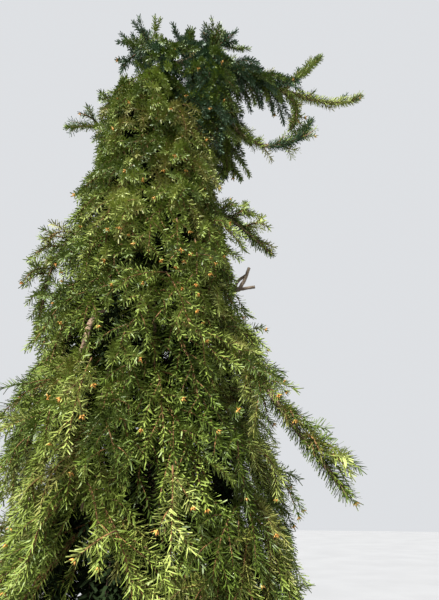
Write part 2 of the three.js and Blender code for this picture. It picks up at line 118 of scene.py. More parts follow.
# How sprays leave their stem: shares along it, across it, off its outer face and downwards, the turn about
# the stem from one to the next, how far they may roll, and how much their shoots lift or sag
HANGING = dict(along=0.4, across=0.7, out=0.5, down=0.5, turn=math.pi, roll=0.4, lift=-0.45)
CURTAIN = dict(along=0.3, across=0.6, out=0.45, down=0.75, turn=math.pi, roll=0.5, lift=-0.6)
TUFTED = dict(along=0.5, across=0.9, out=0, down=0, turn=2.4, roll=0.8, lift=0.15, faces_along=True)
UPTURNED = dict(along=0.9, across=0.55, out=0.1, down=-0.2, turn=2.4, roll=0.6, lift=0.3)

# Limbs: route, root radius and tip radius
LIMBS = [
    ("leader",
     [(-160, -10, 3092), (-59, -10, 3196), (60, -8, 3216), (193, -6, 3150), (300, 0, 3086), (386, 0, 3040)],
     14, 6),
    ("bough_left_crest", [(-150, 0, 3040), (-174, -10, 3104), (-186, -14, 3170)], 9, 6),
    ("bough_crest", [(20, -8, 3215), (42, -4, 3245), (62, 0, 3270)], 8, 5.5),
    ("bough_low_right",
     [(-140, 0, 2960), (20, -18, 2935), (134, -20, 2868), (196, -16, 2786), (272, -8, 2744)], 10, 6.5),
    ("bough_left_high", [(-118, 0, 2380), (-214, -6, 2416), (-308, -10, 2398)], 11, 7.5),
    ("bough_right_high", [(-122, 0, 2420), (-20, -6, 2466), (76, -10, 2452)], 10, 7),
    ("bough_left_front",
     [(-100, 0, 2020), (-190, -110, 2030), (-232, -180, 1962), (-238, -206, 1886)], 12, 8),
    ("bough_right_front",
     [(-98, 0, 1960), (34, -88, 1980), (150, -166, 1884), (222, -222, 1768)], 12, 7.5),
]
DEAD_LIMB = [
    ([(-108, 0, 2130), (20, 4, 2150), (150, 6, 2142), (184, 6, 2170), (206, 6, 2226)], 9, 5),
    ([(150, 6, 2142), (190, -2, 2146), (222, -6, 2150)], 5.4, 5),
    ([(158, 6, 2148), (168, 14, 2180), (196, 20, 2206)], 5.4, 5),
]

# Masses outside the tiers: the limb each grows from, habit, number of sprays, their reach, and stem's route
BRANCHES = [
    ("left_crest", "bough_left_crest", TUFTED, 9, 145,
     [(-198, -8, 3240), (-208, 0, 3320), (-226, 8, 3410)]),
    ("crest", "bough_crest", TUFTED, 9, 135,
     [(84, 4, 3310), (110, 8, 3360), (136, 10, 3410)]),
    ("leader_tip", "leader", UPTURNED, 5, 62,
     [(470, 0, 3000), (560, 0, 2978), (630, 0, 2986), (676, 0, 3008)]),
    ("low_right", "bough_low_right", UPTURNED, 5, 85,
     [(340, -4, 2752), (416, 0, 2794), (468, 0, 2884)]),
    ("left_spur", "trunk", HANGING, 5, 90,
     [(-140, 0, 2790), (-230, 0, 2828), (-320, 0, 2852), (-488, 0, 2848)]),
    ("left_high", "bough_left_high", HANGING, 8, 150,
     [(-372, -12, 2356), (-424, -14, 2270), (-446, -16, 2150), (-442, -20, 1990)]),
    ("right_high", "bough_right_high", HANGING, 6, 130,
     [(132, -12, 2416), (204, -12, 2352), (282, -12, 2268)]),
    ("left_front", "bough_left_front", HANGING, 6, 260,
     [(-250, -230, 1800), (-276, -252, 1660), (-300, -262, 1480)]),
    ("right_front", "bough_right_front", HANGING, 6, 115,
     [(278, -250, 1672), (330, -280, 1590), (368, -300, 1526)]),
]
# Curtains under the leader: where along it they start, how deep they drop, and how far front or back
CURTAINS = [(0.12, 330, -120), (0.27, 470, 110), (0.38, 540, -90), (0.5, 500, 70)]
# Shoots that fork off the leader: where along it, the route, and the reach of their sprays
FORKS = [
    ("up_fork", 0.97, [(420, -6, 3104), (474, -10, 3160), (534, -12, 3230)], 56),
    ("down_fork", 0.92, [(400, -6, 2985), (410, -6, 2905), (384, -6, 2830)], 50),
    ("top_shoots", 0.3, [(-10, -8, 3280), (-18, -6, 3340), (-24, -6, 3400)], 115),
]

# Growth that is finer than the solids'
FROND_TWIG_AREA = 42000
CURTAIN_TWIG_AREA = 7000
FROND_TWIG_WIDTH = 72
FROND_TWIG_DROP = (0.26, 0.42)
TIER_FINER_SPRAYS = 2
FINER_SPRAYS = 4
FINER_SPRAY_SHARE = 0.75
TWIG_SHRINK = (1, 0.8, 0.6)
TWIG_ROOT_RADIUS = 2.2
TWIG_TIP_RADIUS = 1.2
TWIG_TUBE = (3, 5)
TWIG_BULGE = 0.1
TWIG_ARCH = 0.3
TWIG_STALK = 0.12
SHOOT_SPACING = 40
SHOOT_SHARES = (0.1, 0.93)
SHOOT_ANGLE = 38
SHOOT_ANGLE_SPREAD = 16
SHOOT_VARIATION = (0.8, 1.3)
SHOOT_SHORTEST = 60
SHOOT_RADIUS = 1.4
SHOOT_TAPER = 0.8
SHOOT_TUBE = (3, 2)
SHOOT_SAG = 0.7
SHOOT_OVERLAP = 260

# Room that twigs keep from the limbs and the box
LIMB_RUNS = 10
DEAD_LIMB_RUNS = 8
LIMB_CLEARANCE = 8
DEAD_LIMB_CLEARANCE = 50
BOX_ROOM = 6

# The tiers' outline: the dome that they end in, and from which height they are smooth
DOME_TOP = 3060
DOME_SLOPE = 0.4
DOME_FRONT_SLOPE = 0.7
SMOOTH_ABOVE = 2300
SMOOTH_ROOM = 22

# Filling of the column: twigs grow from seats on the stems into cells until each is shoots deep enough
CELL_TURNS = 24
CELL_HEIGHT = 100
SHOOT_WIDTH = 38
OUTER_SHARE = 0.78
FULL_DEPTH = 1.35
FILL_TRIES = 6
FILL_SEATS = (0.25, 0.95, 12)
FILL_HEIGHTS = (200, 3080)
FILL_RADIUS = (0.76, 0.95)
FILL_DROP = (170, 90)
KNEE_SHARE = 0.6

# Hollows in the column: the direction seen from the trunk, half its spread, the heights of its ends, and
# where it starts as a share of the column's radius. The first is the dark one low down, the second the dead
# limb's. All end a little outside the column, and lumps make their edges rough.
HOLLOWS = [(253, 19, 960, 1500, 0.52), (0, 28, 2030, 2255, 0.76)]
HOLLOW_MOUTH = 1.05
HOLLOW_ROUGHNESS = 0.6
HOLLOW_LUMP = 90

# Fronds that stand out in front or cover the top of the dome: the mass, root and tip
PROUD_FRONDS = [
    ("tier8_1", (-150, 15, 3050), (-115, 110, 2995)),
    ("tier8_1", (-145, 10, 3050), (-60, 60, 3000)),
    ("tier8_2", (-165, 12, 3050), (-200, 105, 2995)),
    ("tier8_2", (-168, 0, 3050), (-260, 30, 2995)),
    ("tier8_2", (-168, -10, 3050), (-245, -60, 2940)),
    ("tier8_3", (-155, -18, 3050), (-130, -95, 2935)),
    ("tier8_3", (-130, -15, 3050), (-60, -60, 2950)),
    ("tier8_1", (-130, 10, 3050), (-45, 15, 3010)),
    ("tier5_4", (-30, -270, 2060), (-150, -330, 1994)),
    ("tier5_4", (-30, -270, 2060), (48, -350, 1848)),
    ("tier5_4", (-80, -270, 2230), (-70, -325, 2070)),
    ("tier5_4", (-10, -270, 2230), (0, -320, 2050)),
    ("tier5_4", (40, -240, 2180), (50, -300, 2010)),
    ("tier7_3", (-125, -130, 2840), (-135, -195, 2690)),
    ("tier7_3", (-215, -110, 2900), (-235, -165, 2770)),
    ("tier3_4", (-170, -360, 1800), (-176, -430, 1600)),
    ("tier2_4", (-80, -390, 1465), (-132, -442, 1425)),
    ("tier3_4", (15, -350, 1580), (25, -430, 1420)),
    ("left_crest", (-225, 0, 3290), (-300, -5, 3170)),
]
PROUD_FROND_WIDTH = 42
PROUD_LIFT = -0.2
PROUD_CARD = 0.75

# Limbs with needles: the mass that goes on from each, the shares between which they stand, the length of
# their shoots, the spacing of these along the limb, and how much they lift or sag
CLOTHED_LIMBS = [
    ("leader", "leader_tip", 0.22, 0.95, 70, 12, 0.15),
    ("leader", "curtain_4", 0.45, 0.84, 150, 6, -1.5),
    ("bough_low_right", "low_right", 0.2, 1, 60, 30, 0),
    ("bough_left_crest", "left_crest", 0.6, 1, 60, 14, 0.2),
    ("bough_crest", "crest", 0, 1, 80, 14, 0.2),
    ("bough_left_high", "left_high", 0.1, 1, 80, 16, -0.5),
    ("bough_right_high", "right_high", 0.1, 1, 80, 16, -0.5),
    ("bough_left_front", "left_front", 0, 0.5, 90, 14, -0.6),
    ("bough_right_front", "right_front", 0, 1, 100, 9, -0.4),
]

# Needles: length, width at the root and at the tip, spacing along the shoot, and the share of the way round
# it that they stand on
NEEDLES = (23, 2.8, 1.4, 1.8, 0.8)
HIGH_NEEDLES = (20, 3.8, 2.1, 2.15, 0.85)
CREST_NEEDLES = (19, 4.4, 3.4, 1.35, 1)
INNER_NEEDLES = (32, 8, 5, 4, 1)
NEEDLE_ROOT_ANGLE = 62
NEEDLE_TIP_ANGLE = 32
NEEDLE_ANGLE_SPREAD = 6
NEEDLE_ROLL = 0.5
NEEDLE_VARIATION = (0.85, 1.1)
NEEDLE_TIP_LOSS = 0.18
NEEDLE_FOLD = 0.3
NEEDLE_FACES = [(0, 1, 2), (0, 2, 3)]
GOLDEN_TURN = math.pi * (3 - math.sqrt(5))
GOLDEN_SHARE = (math.sqrt(5) - 1) / 2

# Buds on outer shoots: the shares that have them, below a line, above it and on proud fronds, and sizes
BUD_SHARE = 0.16
HIGH_BUD_SHARE = 0.07
PROUD_BUD_SHARE = 0.6
BUD_LINE = 2500
BUD_DEPTH = 0.86
BUD_LENGTH = 11
BUD_VARIATION = (0.7, 1.15)
BUD_RADIUS = 2.2
BUD_SPREAD = 0.9
BUDS_IN_A_STAR = 5
BUD_FACES = [(0, 2, 1), (0, 3, 2), (0, 1, 3), (4, 1, 2), (4, 2, 3), (4, 3, 1)]

# Old twigs inside the column, with more behind the first hollow: each has a side twig, and ends in a hanging
# shoot with coarse needles. The needles' near-black green is painted shade, and the wood's brown is darkened
# by painted shade.
INNER_TWIGS = 760
INNER_TWIG_HEIGHTS = (260, TRUNK_TOP - 60)
INNER_TWIG_SHARE = (0.42, 0.68)
INNER_TWIG_DROP = (160, 260)
INNER_TWIG_RADIUS = 2.4
SIDE_TWIG_SHARE = (0.3, 0.9)
SIDE_TWIG_LENGTH = (50, 110)
HOLLOW_TWIGS = 90

# Bark: sides and rings of tubes, or the step between rings, and the depth and size of the bark's plates
TRUNK_TUBE = (48, 220)
TRUNK_RELIEF = (1.6, 26)
BOUGH_SIDES = 16
BOUGH_STEP = 9
DEAD_LIMB_STEP = 5
BOUGH_RELIEF = (0.7, 9)
STEM_TUBE = (7, 24)
STEM_RELIEF = (0.4, 6)

# Zones: each is a piece of needles, one of twigs and one of buds. A mass is in the first zone that has the
# start of its name. The shares are those of the zone's shoots that take each of the greens.
ZONES = {
    "skirt": (["tier1"], NEEDLES, (6, 8, 2, 0, 3)),
    "low": (["tier2"], NEEDLES, (5, 8, 3, 0, 3)),
    "waist": (["tier3"], NEEDLES, (5, 8, 3, 0, 3)),
    "middle": (["tier4", "left_front", "right_front"], NEEDLES, (6, 7, 2, 0, 3)),
    "upper": (["tier5", "left_high", "right_high"], HIGH_NEEDLES, (6, 8, 2, 0, 2)),
    "dome": (["tier"], HIGH_NEEDLES, (5, 8, 2, 0, 2)),
    # The crest takes mostly deep and blue-green, and the head some blue-green: painted shade, for their
    # shade under the sky
    "crest": (["left_crest", "crest", "top_shoots", "curtain"], CREST_NEEDLES, (6, 1, 0, 9, 0)),
    "head": ([""], HIGH_NEEDLES, (5, 5, 3, 3, 2)),
}


def lerp(low, high, share):
    return low + (high - low) * share


def random_source(seed):
    """The same seeded draws, from 0 to 1, as the solids are made with."""
    mask = 0xFFFFFFFF
    state = seed

    def draw():
        nonlocal state
        state = (state + 0x6D2B79F5) & mask
        t = ((state ^ (state >> 15)) * (1 | state)) & mask
        t = ((t + (t ^ (t >> 7)) * (61 | t)) & mask) ^ t
        return (t ^ (t >> 14)) / 4294967296

    return draw


class Curve:
    """A smooth curve through points."""

    def __init__(self, points):
        points = [Vector(point) for point in points]
        self.points = [2 * points[0] - points[1], *points, 2 * points[-1] - points[-2]]

    def point(self, share):
        spans = len(self.points) - 3
        span = min(int(share * spans), spans - 1)
        t = share * spans - span
        before, start, end, after = self.points[span : span + 4]
        leave = (end - before) / 2
        arrive = (after - start) / 2
        bend = 3 * (end - start) - 2 * leave - arrive
        twist = 2 * (start - end) + leave + arrive
        return start + leave * t + bend * t**2 + twist * t**3

    def tangent(self, share):
        step = 1e-4
        return (self.point(min(1, share + step)) - self.point(max(0, share - step))).normalized()

    def length(self, steps=200):
        places = [self.point(i / steps) for i in range(steps + 1)]
        return sum((b - a).length for a, b in zip(places, places[1:]))


def trunk_middle(height):
    sway = SWAY * math.sin(math.tau * height / SWAY_LENGTH)
    return Vector((-LEAN * height + sway, -sway, height))


def trunk_radius(height):
    taper = lerp(TRUNK_FOOT_RADIUS, TRUNK_TOP_RADIUS, max(0, height) / TRUNK_TOP)
    return taper * (1 + FLARE * math.exp(-max(0, height) / FLARE_HEIGHT))


def column_radius(height):
    heights, radii = zip(*COLUMN_PROFILE)
    return float(np.interp(height, heights, radii))


# Stems of the masses


@dataclass
class Stem:
    name: str
    away: Vector
    curve: Curve
    habit: dict
    sprays: int
    reach: float
    start: float
    seed: int
    frond_width: float = 0
    number: int = 0

    def __post_init__(self):
        self.points = [self.curve.point(i / STEM_RUNS) for i in range(STEM_RUNS + 1)]
        self.last_share = 1 - min(0.4, 0.9 * self.reach / self.curve.length())

    @property
    def is_tier(self):
        return self.name.startswith("tier")

    def point_on(self, share):
        """A point on the straight runs that the stem's solid is made of."""
        run = min(int(share * STEM_RUNS), STEM_RUNS - 1)
        return self.points[run].lerp(self.points[run + 1], share * STEM_RUNS - run)

    def outward_at(self, tangent):
        """The outer face: away from what the stem hangs round, and up where it runs level."""
        return self.away.cross(UP).cross(tangent).normalized()


def tier_stem(row, i):
    """Each step of its route is a share of the column's radius and a fall."""
    tier_height, count, first_turn = TIERS[row]
    draw = random_source(101 + 17 * row + i)
    heading = math.radians(first_turn + (i + TURN_SPREAD * (draw() - 0.5)) * 360 / count)
    away = Vector((math.cos(heading), math.sin(heading), 0))
    height = tier_height + HEIGHT_SPREAD * (draw() - 0.5)
    rise = row / (len(TIERS) - 1)
    drop = min(lerp(*TIER_DROP, rise), height - SKIRT_CLEARANCE) * (0.92 + 0.16 * draw())
    radius = column_radius(height - WIDTH_DROP) * STEM_SHARE
    steps = [(0, -10), (0.4, -30), (0.75, 0.1 * drop), (0.98, 0.5 * drop), (1.12, drop)]
    route = [trunk_middle(height - fall) + away * radius * share for share, fall in steps]
    return Stem(
        name=f"tier{row + 1}_{i + 1}",
        away=away,
        curve=Curve(route),
        habit=HANGING,
        sprays=TIER_SPRAYS,
        reach=lerp(*TIER_REACH, rise),
        start=0.3,
        seed=1000 + 50 * row + i,
        frond_width=FROND_SHARE * math.pi * radius / count,
    )


def heading_of(route):
    """The level direction from the trunk to the end of a branch."""
    end = Vector(route[-1])
    return (end - trunk_middle(end.z)).normalized()


def branch_stem(i):
    name, limb, habit, sprays, reach, route = BRANCHES[i]
    points = [Vector(point) for point in route]
    if limb != "trunk":
        parent = limb_curves[limb]
        points.insert(0, parent.point(1) + parent.tangent(1) * SEAT_GAP)
    start = 0.4 if limb == "trunk" else 0.16
    return Stem(name, heading_of(route), Curve(points), habit, sprays, reach, start, seed=3000 + i)


def curtain_stem(i):
    share, drop, out = CURTAINS[i]
    root = limb_curves["leader"].point(share)
    steps = [(0, 0), (0.6, 10), (1, 0.3 * drop), (1.1, drop)]
    return Stem(
        name=f"curtain_{i + 1}",
        away=Vector((0, math.copysign(1, out), 0)),
        curve=Curve([root + Vector((8 * part, out * part, -fall)) for part, fall in steps]),
        habit=CURTAIN,
        sprays=CURTAIN_SPRAYS,
        reach=CURTAIN_REACH,
        start=0.25,
        seed=4000 + i,
        frond_width=CURTAIN_FROND_WIDTH,
    )


def fork_stem(i):
    name, share, route, reach = FORKS[i]
    curve = Curve([limb_curves["leader"].point(share), *route])
    return Stem(name, heading_of(route), curve, UPTURNED, FORK_SPRAYS, reach, 0.35, seed=5000 + i)


limb_curves = {name: Curve(route) for name, route, _, _ in LIMBS}
stems = [
    *[branch_stem(i) for i in range(len(BRANCHES))],
    *[curtain_stem(i) for i in range(len(CURTAINS))],
    *[fork_stem(i) for i in range(len(FORKS))],
    *[tier_stem(row, i) for row in range(len(TIERS)) for i in range(TIERS[row][1])],
]
stem_named = {stem.name: stem for stem in stems}
for number, stem in enumerate(stems):
    stem.number = number


# Space: a mass keeps round its own stem, above the ground and clear of the limbs


class Runs:
    """Straight runs in space, for the distance from a point to each of them."""

    def __init__(self, lines):
        self.starts = np.array([a for a, _ in lines])
        self.spans = np.array([b for _, b in lines]) - self.starts
        self.squares = np.sum(self.spans**2, axis=1)

    def distances(self, point):
        offset = np.array(point) - self.starts
        share = np.clip(np.sum(offset * self.spans, axis=1) / self.squares, 0, 1)
        return np.linalg.norm(offset - share[:, None] * self.spans, axis=1)


def polyline(curve, steps):
    places = [curve.point(i / steps) for i in range(steps + 1)]
    return list(zip(places, places[1:]))


stem_runs = Runs([line for stem in stems for line in zip(stem.points, stem.points[1:])])
limb_lines = []
limb_radii = []
for _, route, root_radius, tip_radius in LIMBS:
    limb_lines += polyline(Curve(route), LIMB_RUNS)
    limb_radii += [lerp(root_radius, tip_radius, i / LIMB_RUNS) for i in range(LIMB_RUNS)]
for route, root_radius, _ in DEAD_LIMB:
    limb_lines += polyline(Curve(route), DEAD_LIMB_RUNS)
    limb_radii += [root_radius + DEAD_LIMB_CLEARANCE] * DEAD_LIMB_RUNS
limb_runs = Runs(limb_lines)
limb_reach = np.array(limb_radii) + LIMB_CLEARANCE


def is_clear_of_limbs(point):
    level = point - trunk_middle(point.z)
    if point.z < TRUNK_TOP and math.hypot(level.x, level.y) < trunk_radius(point.z) + LIMB_CLEARANCE:
        return False
    return bool(np.all(limb_runs.distances(point) > limb_reach))


def is_in_hollow(point):
    """Whether a point is in a hollow. These have ragged edges and close towards their ends."""
    level = point - trunk_middle(point.z)
    turn = math.degrees(math.atan2(level.y, level.x))
    depth = math.hypot(level.x, level.y) / column_radius(point.z)
    ragged = 1 + HOLLOW_ROUGHNESS * noise.noise(point / HOLLOW_LUMP)
    for heading, spread, lowest, highest, inner in HOLLOWS:
        if lowest < point.z < highest and inner < depth < HOLLOW_MOUTH:
            share = (point.z - lowest) / (highest - lowest)
            width = spread * ragged * math.sqrt(4 * share * (1 - share))
            if abs((turn - heading + 180) % 360 - 180) < width:
                return True
    return False


def is_in_column(point):
    """The tiers end below the crest, in a dome that slopes down most to the front. High up they keep to the
    column's smooth outline."""
    level = point - trunk_middle(point.z)
    top = DOME_TOP - DOME_SLOPE * level.length - DOME_FRONT_SLOPE * max(0, -level.y)
    reach = column_radius(point.z) + SMOOTH_ROOM
    return point.z < top and (point.z < SMOOTH_ABOVE or level.length < reach)


def is_in_box(point):
    lowest, highest = cad_box
    return all(lowest[k] / MM - BOX_ROOM < point[k] < highest[k] / MM + BOX_ROOM for k in range(3))


def is_in_space(point, stem, overlap=SPACE_OVERLAP):
    """Whether a mass may be at a point, which may be nearer to another stem by the overlap."""
    if point.z < GROUND_CLEARANCE or not is_in_box(point) or is_in_hollow(point):
        return False
    if stem.is_tier and not is_in_column(point):
        return False
    distances = stem_runs.distances(point).reshape(len(stems), STEM_RUNS).min(axis=1)
    own = distances[stem.number] - overlap
    distances[stem.number] = np.inf
    return own < distances.min() and is_clear_of_limbs(point)


# Growth: twigs along the stems, and shoots along the twigs


@dataclass
class Bend:
    """A twig or shoot: a line from root to tip, bent towards a middle point, with its outer face. Its card,
    from 0 to 1, deals out its green. Its lift is that of the shoots on it."""

    root: Vector
    middle: Vector
    tip: Vector
    face: Vector
    stem: Stem = None
    card: float = 0
    is_end: bool = True
    girth: float = SHOOT_RADIUS
    lift: float = 0
    green: int = 0

    def point(self, share):
        return self.root.lerp(self.middle, share).lerp(self.middle.lerp(self.tip, share), share)

    def tangent(self, share):
        return (self.middle - self.root).lerp(self.tip - self.middle, share).normalized()


twigs = []
shoots = []


def grow_shoots(twig, half_width, draw):
    """Shoots along both sides of a twig, as long as the outline of its blade lets them be."""
    length = (twig.tip - twig.root).length
    count = round(length / SHOOT_SPACING) - 1
    for j in range(count):
        share = lerp(*SHOOT_SHARES, (j + 0.6 * draw()) / count)
        tangent = twig.tangent(share)
        across = tangent.cross(twig.face).normalized() * (1 if j % 2 else -1)
        angle = math.radians(SHOOT_ANGLE + SHOOT_ANGLE_SPREAD * (draw() - 0.5))
        width = half_width * (1 - TOOTH_TAPER * share)
        reach = width * lerp(*SHOOT_VARIATION, draw()) / math.sin(angle)
        reach = max(reach, SHOOT_SHORTEST)
        heading = tangent * math.cos(angle) + across * math.sin(angle)
        heading = (heading + twig.face * 0.5 * (draw() - 0.35)).normalized()
        root = twig.point(share)
        middle = root + heading * reach * 0.5
        bent = (heading + tangent * 0.25 + UP * twig.lift).normalized()
        tip = middle + bent * reach * 0.5
        if all(is_in_space(place, twig.stem, SHOOT_OVERLAP) for place in (middle, tip)):
            shoots.append(Bend(root, middle, tip, twig.face, twig.stem, twig.card))


def grow_twig(root, tip, arch, face, half_width, stem, draw, lift, overlap=SPACE_OVERLAP):
    """A twig with its shoots, as long as there is room for. It bends by the arch, a share of its length."""
    card = draw()
    if is_in_hollow(root):
        return
    for shrink in TWIG_SHRINK:
        end = root.lerp(tip, shrink)
        reach = (end - root).length
        middle = root.lerp(end, 0.5) + (face * TWIG_BULGE + arch) * reach
        if is_in_hollow(middle) or not is_in_space(end, stem, overlap):
            continue
        twig = Bend(root, middle, end, face, stem, card, lift=lift)
        twigs.append(twig)
        start, bend = twig.point(TWIG_STALK), middle.lerp(end, TWIG_STALK)
        shoots.append(Bend(start, bend, end, face, stem, card))
        grow_shoots(twig, half_width, draw)
        return


def grow_sprays(stem, count, size, draw, finer_draw):
    """A twig for each spray of the mass, in the order of the solids' draws."""
    habit = stem.habit
    arch = -UP * math.copysign(TWIG_ARCH, habit["lift"])
    for k in range(count):
        along = lerp(stem.start, stem.last_share + 0.08, (k + 0.4 * draw()) / count)
        spread = 0.75 + 0.5 * draw()
        lift = draw() - 0.5
        length = size * stem.reach * lerp(INNER_SPRAY_SHARE, 1, along) * (0.9 + 0.3 * draw())
        roll = habit["roll"] * (2 * draw() - 1)
        tangent = stem.curve.tangent(along)
        outward = stem.outward_at(tangent)
        across = tangent.cross(outward)
        across.rotate(Quaternion(tangent, k * habit["turn"]))
        heading = tangent * habit["along"] + across * habit["across"] * spread
        heading = heading + outward * (habit["out"] + 0.5 * lift) - UP * habit["down"]
        heading.normalize()
        facing = tangent if habit.get("faces_along") else outward
        face = (facing - heading * facing.dot(heading)).normalized()
        face.rotate(Quaternion(heading, roll))
        root = stem.point_on(along) + outward * SPRAY_SEAT
        half_width = length * SPRAY_SLENDERNESS / 2
        tip = root + heading * length
        grow_twig(root, tip, arch, face, half_width, stem, finer_draw, habit["lift"])


def grow_end_spray(stem, draw):
    """The twig that the stem ends in."""
    root = stem.point_on(stem.last_share)
    tip = stem.points[-1].copy()
    heading = (tip - root).normalized()
    half_width = (tip - root).length * SPRAY_SLENDERNESS / 2
    lift = stem.habit["lift"]
    grow_twig(root, tip, Vector(), stem.outward_at(heading), half_width, stem, draw, lift)


def clothe_curve(curve, first, last, girths, stem, card):
    """Needles on a stem or limb itself, between two shares of it."""
    shares = np.linspace(first, last, 7)
    for start, end in zip(shares, shares[1:]):
        root, tip = curve.point(start), curve.point(end)
        centre = (start + end) / 2
        middle = curve.point(centre) * 2 - root.lerp(tip, 0.5)
        if is_in_hollow(middle):
            continue
        tangent = curve.tangent(centre)
        face = tangent.orthogonal().normalized()
        girth = lerp(*girths, centre)
        shoots.append(Bend(root, middle, tip, face, stem, card, end == 1, girth))


def clothe_limb(limb, mass, first, last, reach, spacing, lift):
    """Needles and short shoots on a limb, all round and leaning forward."""
    curve = limb_curves[limb]
    root_radius, tip_radius = next((a, b) for name, _, a, b in LIMBS if name == limb)
    stem = stem_named[mass]
    draw = random_source(7000 + stem.number)
    clothe_curve(curve, first, last, (root_radius, tip_radius), stem, draw())
    count = round(curve.length() * (last - first) / spacing)
    for k in range(count):
        share = lerp(first, last, (k + draw()) / count)
        tangent = curve.tangent(share)
        side = tangent.orthogonal().normalized()
        side.rotate(Quaternion(tangent, k * GOLDEN_TURN))
        heading = (tangent * 0.8 + side * 0.7).normalized()
        length = reach * (0.6 + 0.8 * draw())
        root = curve.point(share)
        middle = root + heading * length * 0.5
        tip = middle + (heading + UP * lift).normalized() * length * 0.5
        shoots.append(Bend(root, middle, tip, side, stem, draw()))


def grow_frond(stem):
    """Side twigs from the stem that reach out within its frond, evenly over it, and then hang."""
    draw = random_source(stem.seed + 40000)
    first = draw()
    twig_area = FROND_TWIG_AREA if stem.is_tier else CURTAIN_TWIG_AREA
    count = round(2 * stem.frond_width * stem.curve.length() * (1 - FROND_START) / twig_area)
    for k in range(count):
        share = (k + 0.5 * draw()) / count
        side = 2 * ((first + k * GOLDEN_SHARE) % 1) - 1
        along = lerp(FROND_START - 0.1, 0.88, share)
        tip_along = min(1, along + lerp(*FROND_TWIG_DROP, draw()))
        tangent = stem.curve.tangent(tip_along)
        outward = stem.outward_at(tangent)
        across = tangent.cross(outward) * side * stem.frond_width * (1 - TOOTH_TAPER * share)
        tip = stem.point_on(tip_along) + across + outward * lerp(-10, 60, draw())
        root = stem.point_on(along)
        face = stem.outward_at(stem.curve.tangent(along))
        arch = across * 0.5 / (tip - root).length + UP * 0.12
        grow_twig(root, tip, arch, face, FROND_TWIG_WIDTH, stem, draw, -SHOOT_SAG, SHOOT_OVERLAP)


def grow_proud_fronds():
    draw = random_source(8000)
    for mass, root, tip in PROUD_FRONDS:
        root, tip = Vector(root), Vector(tip)
        face = (tip - trunk_middle(tip.z)).normalized()
        first = len(shoots)
        stem = stem_named[mass]
        grow_twig(root, tip, UP * 0.1, face, PROUD_FROND_WIDTH, stem, draw, PROUD_LIFT, math.inf)
        for shoot in shoots[first:]:
            shoot.card = PROUD_CARD


class Depth:
    """How many shoots deep the outer part of the column is, in cells round it and up it."""

    def __init__(self):
        self.depths = np.zeros((math.ceil(FILL_HEIGHTS[1] / CELL_HEIGHT) + 1, CELL_TURNS))
        self.counted = 0

    def count_new_shoots(self):
        for shoot in shoots[self.counted :]:
            length = (shoot.tip - shoot.root).length / 3
            for share in (1 / 6, 1 / 2, 5 / 6):
                self.count_part(shoot.point(share), length)
        self.counted = len(shoots)

    def count_part(self, place, length):
        level = place - trunk_middle(place.z)
        radius = column_radius(place.z)
        row = int(place.z / CELL_HEIGHT)
        if math.hypot(level.x, level.y) > OUTER_SHARE * radius and row < len(self.depths):
            column = int(math.atan2(level.y, level.x) / math.tau % 1 * CELL_TURNS) % CELL_TURNS
            area = math.tau * radius / CELL_TURNS * CELL_HEIGHT
            self.depths[row, column] += length * SHOOT_WIDTH / area


def fill_seats():
    """Where twigs may start: the tiers' stems and shares along them."""
    return [
        (stem, share)
        for stem in stems
        if stem.is_tier
        for share in np.linspace(*FILL_SEATS)
        if not is_in_hollow(stem.curve.point(share))
    ]


def grow_filler(row, column, seats, places, draw):
    """A twig into a cell: from the nearest seat to a knee, and down. Low seats count as further off."""
    turn = (column + draw()) / CELL_TURNS * math.tau
    height = min(FILL_HEIGHTS[1], (row + draw()) * CELL_HEIGHT)
    away = Vector((math.cos(turn), math.sin(turn), 0))
    radius = column_radius(height) * lerp(*FILL_RADIUS, draw())
    place = trunk_middle(height) + away * radius
    drop = lerp(*FILL_DROP, height / FILL_HEIGHTS[1]) * (0.8 + 0.4 * draw())
    knee = place + UP * KNEE_SHARE * drop
    tip = place - UP * (1 - KNEE_SHARE) * drop
    offsets = places - np.array(knee)
    offsets[:, 2] *= np.where(offsets[:, 2] < 0, 4, 1)
    stem, share = seats[int(np.argmin(np.sum(offsets**2, axis=1)))]
    root = stem.curve.point(share)
    arch = (knee - root.lerp(tip, 0.5)) / (tip - root).length
    grow_twig(root, tip, arch, away, FROND_TWIG_WIDTH, stem, draw, -SHOOT_SAG, SHOOT_OVERLAP)


def fill_column():
    """Twigs into each part of the column that is still thin, from its top down."""
    draw = random_source(9000)
    depth = Depth()
    depth.count_new_shoots()
    seats = fill_seats()
    places = np.array([stem.curve.point(share) for stem, share in seats])
    lowest, highest = (int(height / CELL_HEIGHT) for height in FILL_HEIGHTS)
    for row in range(highest, lowest - 1, -1):
        for column in range(CELL_TURNS):
            for _ in range(FILL_TRIES):
                if depth.depths[row, column] >= FULL_DEPTH:
                    break
                grow_filler(row, column, seats, places, draw)
                depth.count_new_shoots()


# Meshes from arrays


def new_object(name, data):
    thing = bpy.data.objects.new(name, data)
    bpy.context.scene.collection.objects.link(thing)
    return thing


def new_piece(name, vertices, faces, materials, material_numbers=None):
    """A mesh object from points in millimetres and triangles."""
    mesh = bpy.data.meshes.new(name)
    mesh.vertices.add(len(vertices))
    mesh.vertices.foreach_set("co", (vertices * MM).astype(np.float32).ravel())
    mesh.loops.add(3 * len(faces))
    mesh.loops.foreach_set("vertex_index", faces.astype(np.int32).ravel())
    mesh.polygons.add(len(faces))
    mesh.polygons.foreach_set("loop_start", np.arange(0, 3 * len(faces), 3, dtype=np.int32))
    if material_numbers is not None:
        mesh.polygons.foreach_set("material_index", material_numbers.astype(np.int32))
    mesh.update(calc_edges=True)
    mesh.validate()
    for material in materials:
        mesh.materials.append(material)
    piece = new_object(name, mesh)
    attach(piece, "root")
    return piece


def unit(rows):
    return rows / np.linalg.norm(rows, axis=-1, keepdims=True)


def rows_of(bends):
    """The bends' points and faces as arrays."""
    return [
        np.array([getattr(bend, part) for bend in bends], dtype=float)
        for part in ("root", "middle", "tip", "face")
    ]


